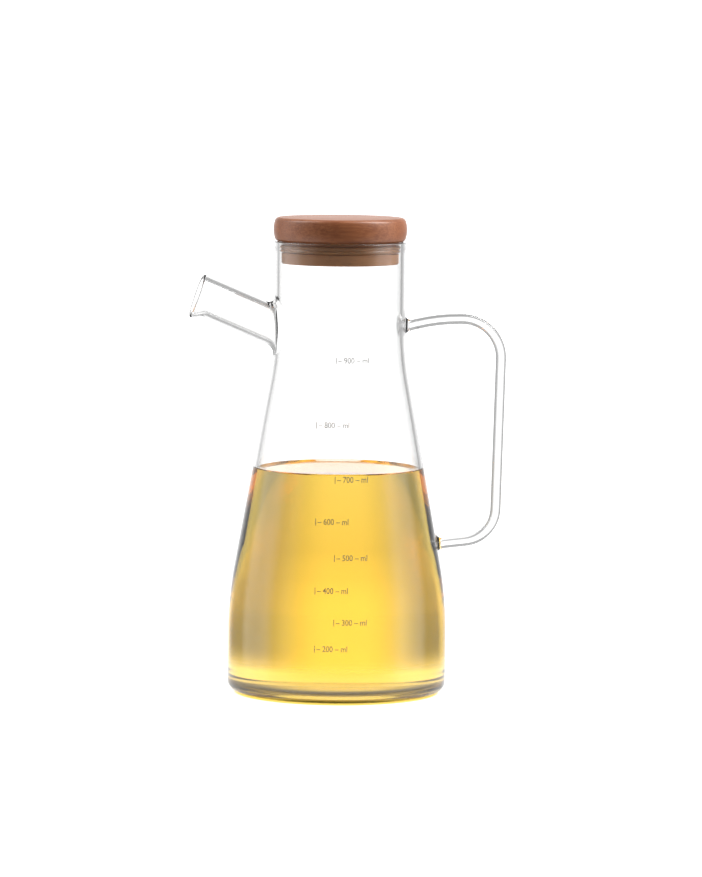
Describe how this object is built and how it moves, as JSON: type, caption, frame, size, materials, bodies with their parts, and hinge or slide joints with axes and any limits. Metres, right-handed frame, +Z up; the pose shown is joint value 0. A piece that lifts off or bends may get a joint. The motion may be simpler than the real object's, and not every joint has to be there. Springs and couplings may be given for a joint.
{
  "type": "oil dispenser jug",
  "caption": "Clear glass jug with a conical body, side spout and rod handle, part filled with yellow cooking oil and closed by a wooden lid with a soft sealing ring.",
  "frame": {"origin": "centre of the flat base, on the jug's axis, at the level of the surface it stands on", "axes": "+Z up along the jug's axis, the spout points along -X and the handle along +X"},
  "size_m": [0.1536, 0.105, 0.2278],
  "materials": {
    "glass": "clear polished borosilicate glass",
    "oil": "clear golden yellow cooking oil",
    "wood": "lacquered brown wood with fine grain",
    "seal": "translucent soft ring"
  },
  "bodies": {
    "root": {"glass_jug": "glass", "oil_fill": "oil", "wooden_lid": "wood", "sealing_ring": "seal"}
  },
  "joints": []
}
